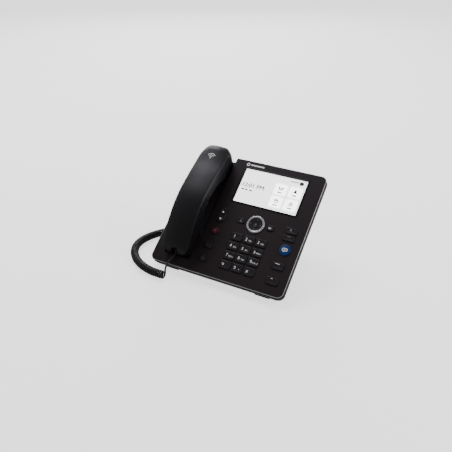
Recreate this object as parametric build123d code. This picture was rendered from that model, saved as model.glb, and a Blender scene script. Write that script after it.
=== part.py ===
from build123d import *
from math import cos, radians, sin, tan
import os

os.makedirs("parts", exist_ok=True)

# A desk phone lies on a face frame: u across from the left edge, v up the face from its
# front edge, w out of the face. place() turns that frame by the tilt and stands it on Z = 0.

# driving dimensions, millimetres
face_width = 234.0
face_length = 215.0
tilt = 35.0
face_height = 14.6            # front edge of the face above the desk
corner_radius = 10.0
cradle_width = 72.0
cradle_length = 209.0
ramp_start = 25.0             # the cradle floor leaves the face here and sinks to the rear
ramp_drop = 7.0
cover_depth = 9.2             # top cover, face to parting line
trim_depth = 1.0
shell_depth = 14.0            # whole plate at its sides
wall = 2.4
fit = 0.3                     # clear gap between pieces that move on each other
touch = 0.02                  # hairline between pieces that only rest on each other

display_centre = (150.8, 168.4)
display_size = (110.2, 63.4)
lens_size = (117.0, 70.4)
lens_thickness = 1.6

key_proud = 1.4
key_travel = 1.2
key_flange = 0.7
key_flange_top = -2.8
key_flange_thickness = 1.2
dial_pitch = (20.9, 16.7)
dial_first = (128.6, 76.3)    # centre of the key 1
dial_size = (18.6, 13.4)
nav_centre = (150.0, 104.9)
nav_outer = 30.0
nav_inner = 23.4
ok_diameter = 10.4

handset_centre = 43.0
handset_width = 46.0
ear_well = (43.0, 186.85, 47.4, 35.5)      # u, v, width, length
mouth_well = (43.0, 40.5, 47.4, 46.0)
ear_well_floor = -9.5
mouth_well_floor = -3.5

housing_left = 28.0
housing_right = 200.0
rear_wall = 172.0             # depth of the vertical rear wall behind the face's front edge
block_floor = 61.3            # height of the connector block's floor
housing_wall = 2.2

stand_pivot = (150.0, 54.0)   # depth and height of the stand's hinge
stand_width = 112.0
foot_height = 1.2

wire = 3.2                    # straight ends of the handset cord
coil_outer = 12.8

cos_t, sin_t = cos(radians(tilt)), sin(radians(tilt))
depth = face_length * cos_t + shell_depth * sin_t
front_y = -depth / 2
slope = ramp_drop / (cradle_length - ramp_start)

face_frame = Pos(-face_width / 2, front_y, face_height) * Rot(tilt, 0, 0)
desk_frame = Pos(-face_width / 2, front_y, 0)


def write(node, shape):
    export_step(shape, f"parts/{node}.step")


def slab(points, x0, x1):
    """A side profile of (depth, height) points, drawn out across from x0 to x1."""
    face = make_face(Polyline(*points, close=True))
    return Pos(x0, 0, 0) * extrude(Plane.YZ * face, x1 - x0)


def block(x0, x1, y0, y1, z0, z1):
    return Pos((x0 + x1) / 2, (y0 + y1) / 2, (z0 + z1) / 2) * Box(x1 - x0, y1 - y0, z1 - z0)


def rounded_block(u, v, width, length, z0, z1, radius):
    return Pos(u, v, z0) * extrude(RectangleRounded(width, length, radius), z1 - z0)


def rod(u, v, z0, z1, diameter):
    return Pos(u, v, z0) * extrude(Circle(diameter / 2), z1 - z0)


def desk_to_face(y, z):
    """Face coordinates (v, w) of a point given by its depth and height over the desk."""
    rise = z - face_height
    return y * cos_t + rise * sin_t, rise * cos_t - y * sin_t


# --- plate: two covers with a trim ring between them ---

def outline(inset=0.0):
    corners = [(0, 0), (face_width, 0), (face_width, face_length), (cradle_width, face_length),
               (cradle_width, cradle_length), (0, cradle_length)]
    plate = make_face(Polyline(*corners, close=True))
    sharp = (cradle_width, face_length), (cradle_width, cradle_length)
    is_sharp = lambda p: any(abs(p.X - u) + abs(p.Y - v) < 0.1 for u, v in sharp)
    plate = fillet([p for p in plate.vertices() if not is_sharp(p)], corner_radius)
    plate = fillet([p for p in plate.vertices() if is_sharp(p)], 2.0)
    return offset(plate, -inset) if inset else plate


def layer(inset, w0, w1):
    return Pos(0, 0, w0) * extrude(outline(inset), w1 - w0)


def ramp_cut(lowered, right):
    """Everything over the cradle's sloping floor, the floor lowered by the given depth."""
    end = cradle_length + 10
    points = [(ramp_start, -lowered), (end, -lowered - slope * (end - ramp_start)), (end, 5), (ramp_start, 5)]
    return slab(points, -5, right)


case_screw_places = [(13, 13), (221, 13), (221, 202), (80, 206)]
screw_shank = 3.0
screw_head = 5.6
screw_head_height = 2.0
screw_seat = -12.0            # w of the face that each case screw's head bears on


def top_cover():
    cover = layer(0, -cover_depth, 0)
    rim = cover.faces().sort_by(Axis.Z)[-1].edges()
    cover = chamfer(rim, 0.8)
    cover -= ramp_cut(0, cradle_width)
    cavity = layer(wall, -cover_depth - 1, -2.5) - ramp_cut(2.5, cradle_width + wall)
    cover -= cavity
    for u, v, width, length, floor in [(*ear_well, ear_well_floor), (*mouth_well, mouth_well_floor)]:
        cover += rounded_block(u, v, width + 2.4, length + 2.4, floor - 1.8, floor + 1.4, 4)
        cover -= rounded_block(u, v, width, length, floor, 5, 2)
    for u, v in case_screw_places:
        cover += rod(u, v, -cover_depth, -2.4, 7.5)
        cover -= rod(u, v, -cover_depth - 1, -3.6, screw_shank)
    u, v = display_centre
    cover -= rounded_block(u, v, lens_size[0] + 0.3, lens_size[1] + 0.3, -lens_thickness, 1, 3)
    cover -= rounded_block(u, v, display_size[0] + 2, display_size[1] + 2, -5, 1, 1)
    for cut in key_openings():
        cover -= cut
    for row in range(8):
        cover -= rounded_block(handset_centre, 100 + 5.2 * row, 30, 1.8, -12, 2, 0.85)
    cover -= rod(*microphone_place, -5, 1, 1.4)
    cover -= rounded_block(*hook_place, hook_size[0] + 2 * fit, hook_size[1] + 2 * fit, -20, 5, 2)
    return cover


def edge_trim():
    ring = layer(-0.35, -cover_depth - trim_depth + touch, -cover_depth - touch)
    return ring - layer(wall - 0.6, -20, 0)


def housing_profile(inset=0.0):
    """Side profile of the rear housing: it hangs under the plate and ends in a vertical wall."""
    lower = [desk_point(62, -34), (126.0, block_floor), (rear_wall, block_floor)]
    upper = [desk_point(face_v_at(rear_wall), -shell_depth + 1.5), desk_point(55, -shell_depth + 1.5)]
    if not inset:
        return lower + upper
    low = [(lower[0][0] + 0.7 * inset, lower[0][1] + 1.1 * inset), (126.0 - 0.3 * inset, block_floor + inset),
           (rear_wall - inset, block_floor + inset)]
    return low + [desk_point(face_v_at(rear_wall - inset), -shell_depth + 4), desk_point(58, -shell_depth + 4)]


def desk_point(v, w):
    return v * cos_t - w * sin_t, face_height + v * sin_t + w * cos_t


def face_v_at(y):
    """v of the point of the plate's underside that lies at the given depth."""
    return (y - shell_depth * sin_t) / cos_t


def to_face(shape):
    """Moves a shape built over the desk into the face frame."""
    return Rot(-tilt, 0, 0) * Pos(0, 0, -face_height) * shape


def heel(inset=0.0):
    """Bar under the front edge, cut level with the desk so that the feet lie flat."""
    top = -cover_depth - trim_depth
    bottom = foot_height + inset
    front, back = 0.6 + inset, 18.0 - inset
    points = [(front, top), (front, (bottom - face_height - front * sin_t) / cos_t),
              (back, (bottom - face_height - back * sin_t) / cos_t), (back, top)]
    return slab(points, 10 + inset, face_width - 10 - inset)


def bottom_cover():
    shell = layer(0.4, -shell_depth, -cover_depth - trim_depth)
    shell += heel()
    shell += to_face(slab(housing_profile(), housing_left, housing_right))
    shell -= layer(wall, -shell_depth + 2.2, 5)
    shell -= to_face(slab(housing_profile(housing_wall), housing_left + housing_wall, housing_right - housing_wall))
    shell -= heel(2.2)
    for u, v in case_screw_places:
        shell += rod(u, v, -shell_depth + 0.2, -cover_depth - touch, 9.5)
        shell -= rod(u, v, -40, screw_seat, screw_head + 0.6)
        shell -= rod(u, v, -40, 0, screw_shank + 0.3)
    for opening in jack_openings():
        shell -= to_face(opening)
    for vent in range(9):
        shell -= to_face(block(132 + 5 * vent, 134.2 + 5 * vent, rear_wall - 5, rear_wall + 5, 100, 108))
    for u in foot_places:
        shell -= to_face(foot_block(u, foot_height - 1, foot_height + 0.6))
    for side in stand_lug_places:
        shell += to_face(stand_lug(side))
    for u, y in board_screw_places:
        shell += to_face(rod(u, y, block_floor + 1, board_top - board_thickness - touch, 8))
        shell -= to_face(rod(u, y, board_top - 7.6, board_top + 1, screw_shank))
    post = rod(*hook_place, -60, -25.4 - touch, 8)
    return shell + (post & to_face(slab(housing_profile(), housing_left, housing_right)))


# --- keys ---

key_shapes = {
    "mute_key": (89.0, 77.0, 12.6, 12.6, 6.2),
    "headset_key": (89.0, 50.0, 15.0, 11.4, 5.6),
    "speaker_key": (89.0, 26.6, 15.0, 11.4, 5.6),
    "back_key": (124.2, 105.0, 13.0, 9.0, 4.0),
    "menu_key": (175.8, 105.0, 13.0, 9.0, 4.0),
    "contacts_key": (210.0, 109.2, 20.0, 10.6, 2.6),
    "messages_key": (210.0, 96.7, 20.0, 10.6, 2.6),
    "assistant_button": (211.0, 76.4, 18.6, 18.6, 9.2),
    "hold_key": (210.0, 48.0, 20.0, 12.0, 2.6),
    "transfer_key": (210.0, 23.0, 20.0, 12.0, 2.6),
}
dial_names = ["1", "2", "3", "4", "5", "6", "7", "8", "9", "star", "0", "hash"]
for place, name in enumerate(dial_names):
    row, column = divmod(place, 3)
    key_shapes[f"key_{name}"] = (dial_first[0] + column * dial_pitch[0],
                                 dial_first[1] - row * dial_pitch[1], *dial_size, 2.2)

volume_place = (89.0, 105.4)
volume_size = (13.0, 26.0)
hook_place = (43.0, 178.0)
hook_size = (9.0, 12.0)
microphone_place = (120.0, 8.0)


def key_cap(u, v, width, length, radius):
    """A cap that stands proud of the face, on a wider flange that keeps it under the cover."""
    cap = rounded_block(u, v, width, length, key_flange_top - 0.1, key_proud, radius)
    cap = fillet(cap.faces().sort_by(Axis.Z)[-1].edges(), 0.7)
    flange_bottom = key_flange_top - key_flange_thickness
    return cap + rounded_block(u, v, width + 2 * key_flange, length + 2 * key_flange,
                               flange_bottom, key_flange_top, radius + key_flange / 2)


def key_openings():
    cuts = [rounded_block(u, v, width + 2 * fit, length + 2 * fit, -6, 2, radius)
            for u, v, width, length, radius in key_shapes.values()]
    cuts.append(rounded_block(*volume_place, volume_size[0] + 0.8, volume_size[1] + 0.8, -6, 2, 6))
    cuts.append(rod(*nav_centre, -6, 2, nav_outer + 1.0))
    return cuts


def volume_rocker():
    rocker = rounded_block(*volume_place, *volume_size, -4.0, key_proud, 6)
    rocker = fillet(rocker.faces().sort_by(Axis.Z)[-1].edges(), 0.7)
    rocker += rounded_block(*volume_place, volume_size[0] + 1.6, volume_size[1] - 4, -5.0, -3.9, 3)
    u, v = volume_place
    return rocker - Pos(u, v, key_proud + 19.5) * Rot(0, 90, 0) * Cylinder(20, 40)


def nav_ring():
    ring = rod(*nav_centre, -0.6, 1.8, nav_outer)
    ring = fillet(ring.faces().sort_by(Axis.Z)[-1].edges(), 1.0)
    return ring - rod(*nav_centre, -2, 4, nav_inner)


def nav_rocker():
    disc = rod(*nav_centre, -3.7, -0.6 - touch, nav_outer) + rod(*nav_centre, -3.7, 1.1, nav_inner - 2 * touch)
    disc += rod(*nav_centre, -4.4, -3.6, nav_outer + 2.0)
    return disc - rod(*nav_centre, -8, 4, ok_diameter + 1.2)


def nav_gimbal():
    """Hidden carrier under the rocker: it tips up and down, the rocker tips left and right on it."""
    return rod(*nav_centre, -5.7, -5.3, 22.0) - rod(*nav_centre, -8, 0, ok_diameter + 3.4)


def ok_button():
    button = rod(*nav_centre, -5.2, 1.5, ok_diameter)
    button = fillet(button.faces().sort_by(Axis.Z)[-1].edges(), 0.7)
    return button + rod(*nav_centre, -5.2, -4.8, ok_diameter + 2.0)


# --- display and boards ---

def display_lens():
    u, v = display_centre
    return rounded_block(u, v, *lens_size, -lens_thickness + touch, -0.05, 2.9)


def display_module():
    u, v = display_centre
    panel = rounded_block(u, v, display_size[0] + 1.4, display_size[1] + 1.4, -2.6, -lens_thickness - touch, 0.8)
    return panel + rounded_block(u, v, display_size[0] + 8, display_size[1] + 6, -6.8, -2.6, 2)


board_top = 68.4              # height of the main board's upper face over the desk
board_thickness = 1.6
board_screw_places = [(54, 148), (186, 138)]     # u and depth


def main_board():
    """Level circuit board that carries the sockets."""
    board = block(33, 195, 130, 169, board_top - board_thickness, board_top)
    for u, y, width, length, height in [(142, 148, 22, 22, 2), (168, 150, 14, 14, 1.6), (114, 140, 18, 10, 5),
                                        (86, 140, 24, 8, 3), (168, 135, 12, 6, 4)]:
        board += rounded_block(u, y, width, length, board_top - 0.1, board_top + height, 0.6)
    for u, y in board_screw_places:
        board -= rod(u, y, 0, 90, screw_shank + 0.3)
    return board


def keypad_board():
    board = block(80, 224, 12, 121, -8.0, -6.6)
    return board - rounded_block(226, 8, 24, 20, -20, 0, 6)


def key_mat():
    """Silicone sheet with a raised dome under every key."""
    mat = block(81, 223, 14, 120, -6.6 + touch, -5.9)
    for u, v, *_ in key_shapes.values():
        mat += rod(u, v, -6.0, -5.35, 7)
    return mat - rounded_block(226, 8, 24, 20, -20, 0, 6) - rod(*nav_centre, -8, 0, 28)


def speaker_driver():
    """Hands-free loudspeaker under the slots of the cradle floor."""
    u, v = 43.0, 118.0
    floor = -2.5 - slope * (v + 20 - ramp_start)
    driver = rod(u, v, floor - 4.5, floor - 0.4, 40) + rod(u, v, floor - 13, floor - 4.4, 24)
    return driver - rod(u, v, floor - 2.4, floor + 1, 34)


def base_microphone():
    return rod(*microphone_place, -5.2, -2.5 - touch, 6)


# --- hook switch ---

def hook_plunger():
    u, v = hook_place
    plunger = rounded_block(u, v, *hook_size, -13.2, ear_well_floor + 0.1, 1.8)
    return plunger + rounded_block(u, v, hook_size[0] + 4, hook_size[1] + 2, -15.6, -14.6, 2) + \
        rounded_block(u, v, hook_size[0] - 2, hook_size[1] - 4, -14.7, -13.1, 1)


def hook_switch():
    u, v = hook_place
    return rounded_block(u, v, 12, 6.5, -24.0, -16.2, 0.8) + rounded_block(u, v, 16, 12, -25.4, -24.0, 0.8)


# --- sockets; these are square to the desk ---

network_size = (16.0, 14.0, 18.0)
network_opening = (11.9, 8.6, 13.0)
network_places = {"lan_jack": 70.0, "pc_jack": 92.0}
small_size = (12.0, 12.0, 15.0)
small_opening = (8.0, 7.0, 11.0)
small_places = {"handset_jack": 140.0, "headset_jack": 158.0}
power_place = 114.0
power_size = (10.0, 11.0, 14.0)


def seated(height):
    """Middle height of a socket that stands on the main board."""
    return board_top + touch + height / 2


def network_jack(u):
    """Modular socket that opens to the rear, with a slot for the plug's latch."""
    width, height, length = network_size
    opening, tall, deep = network_opening
    z = seated(height)
    back = rear_wall + 0.4
    body = block(u - width / 2, u + width / 2, back - length, back, z - height / 2, z + height / 2)
    body -= block(u - opening / 2, u + opening / 2, back - deep, back + 1, z - tall / 2 + 1, z + tall / 2 + 1)
    body -= block(u - 3, u + 3, back - 9, back + 1, z - tall / 2 - 1.2, z - tall / 2 + 1.1)
    return body


def small_jack(y):
    """Handset-size modular socket that opens to the left."""
    width, height, length = small_size
    opening, tall, deep = small_opening
    z = seated(height)
    left = housing_left - 0.4
    body = block(left, left + length, y - width / 2, y + width / 2, z - height / 2, z + height / 2)
    body -= block(left - 1, left + deep, y - opening / 2, y + opening / 2, z - tall / 2, z + tall / 2)
    return body


def power_jack():
    width, height, length = power_size
    back = rear_wall + 0.4
    z = seated(height)
    body = block(power_place - width / 2, power_place + width / 2, back - length, back, z - height / 2, z + height / 2)
    bore = Pos(power_place, back - 4, z) * Rot(90, 0, 0) * Cylinder(3.1, 10)
    pin = Pos(power_place, back - 5, z) * Rot(90, 0, 0) * Cylinder(1.0, 8.4)
    return body - bore + pin


def jack_openings():
    """Windows in the housing's walls, a hairline larger than the sockets behind them."""
    gap = 0.1
    rear = [(u, network_size) for u in network_places.values()] + [(power_place, power_size)]
    cuts = [block(u - size[0] / 2 - gap, u + size[0] / 2 + gap, rear_wall - 20, rear_wall + 5,
                  seated(size[1]) - size[1] / 2 - gap, seated(size[1]) + size[1] / 2 + gap) for u, size in rear]
    width, height, _ = small_size
    z = seated(height)
    cuts += [block(housing_left - 5, housing_left + 16, y - width / 2 - gap, y + width / 2 + gap,
                   z - height / 2 - gap, z + height / 2 + gap) for y in small_places.values()]
    return cuts


# --- feet and folding stand ---

foot_places = (36.0, 198.0)
stand_lug_places = (face_width / 2 - stand_width / 2 - 5, face_width / 2 + stand_width / 2 + 5)
stand_foot_y = 170.0
pin_diameter = 4.0


def foot_block(u, z0, z1):
    return rounded_block(u, 13.5, 26, 8, z0, z1, 2)


def front_feet():
    return Compound(children=[foot_block(u, 0, foot_height + 0.6 - touch) for u in foot_places])


def stand_lug(u):
    y, z = stand_pivot
    lug = slab([(y - 5, block_floor + 1), (y - 5, z), (y + 5, z), (y + 5, block_floor + 1)], u - 4, u + 4)
    lug += Pos(u, y, z) * Rot(0, 90, 0) * Cylinder(5, 8)
    return lug - Pos(u, y, z) * Rot(0, 90, 0) * Cylinder(pin_diameter / 2, 20)


def stand_leg():
    """Prop that stands on the desk and folds forward under the phone."""
    y, z = stand_pivot
    left, right = face_width / 2 - stand_width / 2, face_width / 2 + stand_width / 2
    foot_y = stand_foot_y
    top = 4.6
    profile = [(y - 2.4, z), (y + 2.6, z), (foot_y + 4, 6.0), (foot_y + 4, 1.4), (foot_y - 5, 1.4), (foot_y - 5, 4.0)]
    leg = slab(profile, left, right)
    leg += Pos(face_width / 2, y, z) * Rot(0, 90, 0) * Cylinder(top, stand_width)
    for u in (left + 14, face_width / 2, right - 14):
        leg += slab([(y - 4, z - 2), (y - 1, z - 2), (foot_y, 6), (foot_y - 12, 6)], u - 1.5, u + 1.5)
    leg -= Pos(face_width / 2, y, z) * Rot(0, 90, 0) * Cylinder(pin_diameter / 2, stand_width + 20)
    return leg


def hinge_pins():
    y, z = stand_pivot
    pins = []
    for u, inward in zip(stand_lug_places, (1, -1)):
        pins.append(Pos(u + inward * 5, y, z) * Rot(0, 90, 0) * Cylinder(pin_diameter / 2 - touch, 18))
    return Compound(children=pins)


def stand_feet():
    feet = [rounded_block(face_width / 2 + side * 42, stand_foot_y - 0.5, 22, 7, 0, 1.4 - touch, 2) for side in (-1, 1)]
    return Compound(children=feet)


# --- screws ---

def pan_screw(u, v, w, length):
    """Head below its seat at w, shank up into the boss."""
    head = rod(u, v, w - screw_head_height, w - touch, screw_head)
    head = chamfer(head.faces().sort_by(Axis.Z)[0].edges(), 0.5)
    head -= Pos(u, v, w - screw_head_height) * (Box(3.4, 0.8, 1.6) + Box(0.8, 3.4, 1.6))
    return head + rod(u, v, w - 0.1, w + length, screw_shank - 2 * touch)


def screws():
    """Four up through the bottom cover, two down through the main board, all the same size."""
    length = 7.5
    case = [pan_screw(u, v, screw_seat, length) for u, v in case_screw_places]
    board = [to_face(Pos(u, y, board_top) * Rot(180, 0, 0) * pan_screw(0, 0, 0, length)) for u, y in board_screw_places]
    return Compound(children=case + board)


# --- handset: bowed shell pair over the cradle ---

def handset_profile():
    """Side outline in (v, w): bowed back, arched grip, an ear cup and a mouth cup."""
    nose = ThreePointArc((22.5, -3.2), (17.8, 6.0), (24.0, 19.0))
    rise = Spline((24.0, 19.0), (57.0, 34.0), (84.0, 40.8), (112.0, 43.4), (145.0, 40.4), (178.0, 35.4),
                  (203.0, 33.0), tangents=[(1.0, 0.75), (1.0, -0.06)])
    crown = ThreePointArc((203.0, 33.0), (212.6, 28.4), (215.8, 18.0))
    end = ThreePointArc((215.8, 18.0), (211.4, 3.0), (201.4, -9.2))
    ear = Line((201.4, -9.2), (172.5, -9.2))
    throat = Line((172.5, -9.2), (160.0, 9.0))
    arch = ThreePointArc((160.0, 9.0), (118.0, 20.0), (76.0, 11.0))
    chin = Line((76.0, 11.0), (60.0, -3.2))
    mouth = Line((60.0, -3.2), (22.5, -3.2))
    return make_face([nose, rise, crown, end, ear, throat, arch, chin, mouth])


hollow_profile = [(24.4, -1.0), (22.4, 6.0), (24.4, 14.0), (34.0, 21.4), (57.0, 31.4), (84.0, 38.2), (112.0, 40.8),
                  (145.0, 37.8), (178.0, 32.8), (202.0, 30.4), (210.0, 26.0), (213.0, 18.0), (208.6, 4.0),
                  (200.2, -7.0), (174.2, -7.0), (162.0, 11.0), (140.0, 20.0), (118.0, 22.4), (96.0, 20.4),
                  (75.0, 13.4), (59.0, -1.0)]


def handset_plan(skin=0.0):
    """Plan outline in (u, v): round at the ear end, two lobes at the mouth end."""
    half = handset_width / 2 - skin
    front, centre = 17.0 + skin, 194.0
    plan = Pos(handset_centre, (front + centre) / 2) * Rectangle(2 * half, centre - front)
    plan = fillet(plan.vertices().sort_by(Axis.Y)[:2], 13 - skin)
    plan += Pos(handset_centre, centre) * Circle(half)
    return plan - Pos(handset_centre, 14) * Rectangle(11.0 + 2 * skin, 20 + 2 * skin)


def handset_body(profile, skin=0.0):
    reach = handset_width / 2 + 2
    side = Pos(handset_centre - reach, 0, 0) * extrude(Plane.YZ * profile, 2 * reach)
    return side & (Pos(0, 0, -20) * extrude(handset_plan(skin), 80))


def parting_slab(w0):
    """Space over the handset's parting line."""
    line = [(10, 12 + w0), (30, 14 + w0), (60, 24 + w0), (90, 31 + w0), (115, 33 + w0), (150, 30 + w0), (180, 25 + w0),
            (230, 20 + w0)]
    return slab(line + [(230, 60), (10, 60)], handset_centre - 40, handset_centre + 40)


def handset_shells():
    outer = handset_body(handset_profile())
    hollow = handset_body(make_face(Polyline(*hollow_profile, close=True)), 2.2)
    upper = (outer & parting_slab(touch)) - hollow
    lower = (outer - parting_slab(0)) - hollow
    for ring, count in ((0, 1), (5.0, 6), (10.0, 12)):
        for hole in PolarLocations(ring, count) if ring else [Location()]:
            lower -= Pos(handset_centre, ear_well[1] + 1, -9) * hole * Cylinder(1.1, 10)
    for slot in range(3):
        lower -= rounded_block(handset_centre, 36 + 5 * slot, 14, 1.8, -8, 2, 0.85)
    lower -= handset_socket_space()
    for v, seat in handset_screw_places:
        lower += rod(handset_centre, v, seat, 29.6, handset_boss)
        lower -= rod(handset_centre, v, seat - 10, seat, handset_screw_head + 0.6)
        lower -= rod(handset_centre, v, seat - 1, 40, handset_screw_shank + 0.4)
        upper += rod(handset_centre, v, 31.4, 39.4, handset_boss)
        upper -= rod(handset_centre, v, 30, 37.4, handset_screw_shank)
    return upper, lower


handset_screw_places = [(90.0, 18.2), (146.0, 17.6)]     # v, and w of the face that the head bears on
handset_screw_shank = 2.6
handset_screw_head = 4.6
handset_boss = 6.4
socket_v = 23.5               # mouth-end face of the handset's socket
socket_w = 5.2


def handset_socket_space():
    return block(handset_centre - 5.6, handset_centre + 5.6, 18, socket_v + 4.0, socket_w - 4.6, socket_w + 4.6)


def handset_socket():
    body = block(handset_centre - 5.5, handset_centre + 5.5, socket_v + 0.5, socket_v + 13, socket_w - 4.5,
                 socket_w + 4.5)
    return body - block(handset_centre - 3.95, handset_centre + 3.95, socket_v, socket_v + 10.5, socket_w - 3.4,
                        socket_w + 3.4)


def receiver_capsule():
    v = ear_well[1] + 1
    return rod(handset_centre, v, -6.6, -0.5, 24) + rod(handset_centre, v, -0.6, 3.4, 16)


def handset_microphone():
    return rod(handset_centre, 46, -0.8, 3.6, 9.6)


def handset_screws():
    """Two up through the lower shell into the upper one."""
    pair = []
    for v, seat in handset_screw_places:
        head = chamfer(rod(handset_centre, v, seat - 1.8, seat - touch, handset_screw_head).faces()
                       .sort_by(Axis.Z)[0].edges(), 0.4)
        head -= Pos(handset_centre, v, seat - 1.8) * (Box(2.8, 0.7, 1.4) + Box(0.7, 2.8, 1.4))
        pair.append(head + rod(handset_centre, v, seat - 0.1, 37.2, handset_screw_shank - 2 * touch))
    return Compound(children=pair)


# --- handset cord: plug, straight end, coil on the desk, straight end, plug ---

coil_height = coil_outer / 2 + 0.2
coil_route = [(43.5, -20), (24, -21.5), (4, -18), (-15, -10.5), (-31, 1.5), (-43, 16), (-49.5, 33), (-49.5, 51),
              (-43.5, 68), (-34, 84), (-22, 98.5), (-7, 109), (9, 114)]


def smooth_path(points):
    """Straight runs joined by arcs as large as the runs allow."""
    points = [Vector(*p) for p in points]
    radii = []
    for before, corner, after in zip(points, points[1:], points[2:]):
        turn = (corner - before).get_angle(after - corner)
        shorter = min((corner - before).length, (after - corner).length)
        radii.append(0.45 * shorter / tan(radians(turn) / 2))
    return FilletPolyline(*points, radius=radii), radii


def tube(points, diameter, name):
    path, radii = smooth_path(points)
    start = Plane(origin=path @ 0, z_dir=path % 0)
    solid = sweep(start * Circle(diameter / 2), path=path)
    section = 3.14159 * diameter ** 2 / 4
    print(name, "radii", [round(r, 1) for r in radii], "length", round(path.length, 1),
          "volume over section times length", round(solid.volume / (section * path.length), 4))
    return solid


handset_end_route = [(43, 11.7, 29.1), (41.0, 6.0, 25.6), (38.2, -1.8, 21.2), (37.4, -8.6, 16.6),
                     (39.2, -14.8, 12.2)]
base_end_route = [(11.3, 140, 74.4), (2.4, 139.8, 73.4), (-4.0, 136.5, 66.0), (-5.5, 131, 54.0),
                  (-4.0, 125, 41.0), (-1.5, 118.5, 28.0), (1.0, 113.8, 16.5), (2.0, 111.6, 9.6)]


def cord_coil():
    return tube([(x, y, coil_height) for x, y in coil_route], coil_outer, "coil")


def cord_handset_end():
    return tube(handset_end_route, wire, "handset end")


def cord_base_end():
    return tube(base_end_route, wire, "base end")


plug_size = (7.7, 6.4, 11.5)


def handset_plug():
    """Modular plug in the handset's mouth end, with a short sleeve where the wire enters."""
    width, height, length = plug_size
    front = socket_v - 1.2
    plug = block(handset_centre - width / 2, handset_centre + width / 2, front, front + length,
                 socket_w - height / 2, socket_w + height / 2)
    sleeve = Pos(handset_centre, front - 1.9, socket_w) * Rot(90, 0, 0) * Cylinder(2.3, 4.0)
    return plug + sleeve


def base_plug():
    width, height, length = plug_size
    y, z = small_places["handset_jack"], seated(small_size[1])
    back = housing_left - 1.6
    plug = block(back - 2, back + length - 2.2, y - width / 2, y + width / 2, z - height / 2, z + height / 2)
    sleeve = Pos(back - 8, y, z) * Rot(0, 90, 0) * Cylinder(2.4, 14)
    return plug + sleeve


face_parts = {
    "top_cover": top_cover, "edge_trim": edge_trim, "bottom_cover": bottom_cover,
    "display_lens": display_lens, "display_module": display_module,
    "keypad_board": keypad_board, "key_mat": key_mat, "speaker_driver": speaker_driver,
    "base_microphone": base_microphone, "hook_plunger": hook_plunger, "hook_switch": hook_switch,
    "volume_rocker": volume_rocker, "nav_ring": nav_ring, "nav_rocker": nav_rocker,
    "nav_gimbal": nav_gimbal, "ok_button": ok_button, "screws": screws,
    "handset_socket": handset_socket, "receiver_capsule": receiver_capsule,
    "handset_microphone": handset_microphone, "handset_screws": handset_screws, "handset_plug": handset_plug,
}
desk_parts = {
    "front_feet": front_feet, "stand_leg": stand_leg, "stand_feet": stand_feet, "hinge_pins": hinge_pins,
    "main_board": main_board, "power_jack": power_jack, "base_plug": base_plug,
    "cord_coil": cord_coil, "cord_handset_end": cord_handset_end, "cord_base_end": cord_base_end,
}

for node, make in face_parts.items():
    write(node, face_frame * make())
for node, make in desk_parts.items():
    write(node, desk_frame * make())
for node, u in network_places.items():
    write(node, desk_frame * network_jack(u))
for node, y in small_places.items():
    write(node, desk_frame * small_jack(y))
for node, shape in key_shapes.items():
    write(node, face_frame * key_cap(*shape))
upper, lower = handset_shells()
write("handset_upper_shell", face_frame * upper)
write("handset_lower_shell", face_frame * lower)
print("nodes", len(face_parts) + len(desk_parts) + len(network_places) + len(small_places) + len(key_shapes) + 2)
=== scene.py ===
import bpy
import bmesh
from math import cos, pi, radians, sin
from mathutils import Matrix, Vector
from mathutils.bvhtree import BVHTree


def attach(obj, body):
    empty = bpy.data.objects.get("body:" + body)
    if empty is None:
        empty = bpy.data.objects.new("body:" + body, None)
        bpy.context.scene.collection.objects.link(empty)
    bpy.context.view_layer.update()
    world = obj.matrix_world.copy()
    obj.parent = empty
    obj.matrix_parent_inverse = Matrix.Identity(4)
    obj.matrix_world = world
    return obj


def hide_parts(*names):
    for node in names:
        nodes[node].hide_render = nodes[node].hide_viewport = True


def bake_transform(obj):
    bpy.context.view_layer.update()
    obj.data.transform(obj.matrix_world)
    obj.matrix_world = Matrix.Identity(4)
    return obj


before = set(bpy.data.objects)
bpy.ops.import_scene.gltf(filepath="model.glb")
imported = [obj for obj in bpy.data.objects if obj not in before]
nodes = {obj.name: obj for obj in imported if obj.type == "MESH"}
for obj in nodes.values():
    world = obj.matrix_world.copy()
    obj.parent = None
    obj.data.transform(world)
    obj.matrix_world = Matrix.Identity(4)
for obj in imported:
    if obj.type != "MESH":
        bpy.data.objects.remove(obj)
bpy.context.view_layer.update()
print("frame loaded,", len(nodes), "nodes")

# The face of the phone is tilted. Most pieces are drawn in millimetres on it: u across, v up the face, w out of it.
phone = {"width": 234.0, "frontY": -92.074, "faceRise": 14.6, "tilt": 35.0}
mm = 0.001
tilt = radians(phone["tilt"])
deskMatrix = Matrix.Scale(mm, 4) @ Matrix.Translation((-phone["width"] / 2, phone["frontY"], 0))
faceMatrix = deskMatrix @ Matrix.Translation((0, 0, phone["faceRise"])) @ Matrix.Rotation(tilt, 4, "X")
scene = bpy.context.scene
mergeWithin, sliverWithin = 1e-7, 1e-8    # in metres


def pieceFromMesh(name, mesh, material, smoothAngle):    # an angle of 0 leaves it flat shaded
    if smoothAngle:
        mesh.shade_smooth()
        mesh.set_sharp_from_angle(angle=radians(smoothAngle))
    piece = bpy.data.objects.new(name, mesh)
    mesh.materials.clear()
    mesh.materials.append(material)
    scene.collection.objects.link(piece)
    return piece


# A piece with its body and the nodes it replaces. Its slot argument is not used.
def finished(name, mesh, material, smoothAngle, body, slot, *replaced):
    piece = pieceFromMesh(name, mesh, material, smoothAngle)
    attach(piece, body)
    if replaced:
        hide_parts(*replaced)


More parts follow.
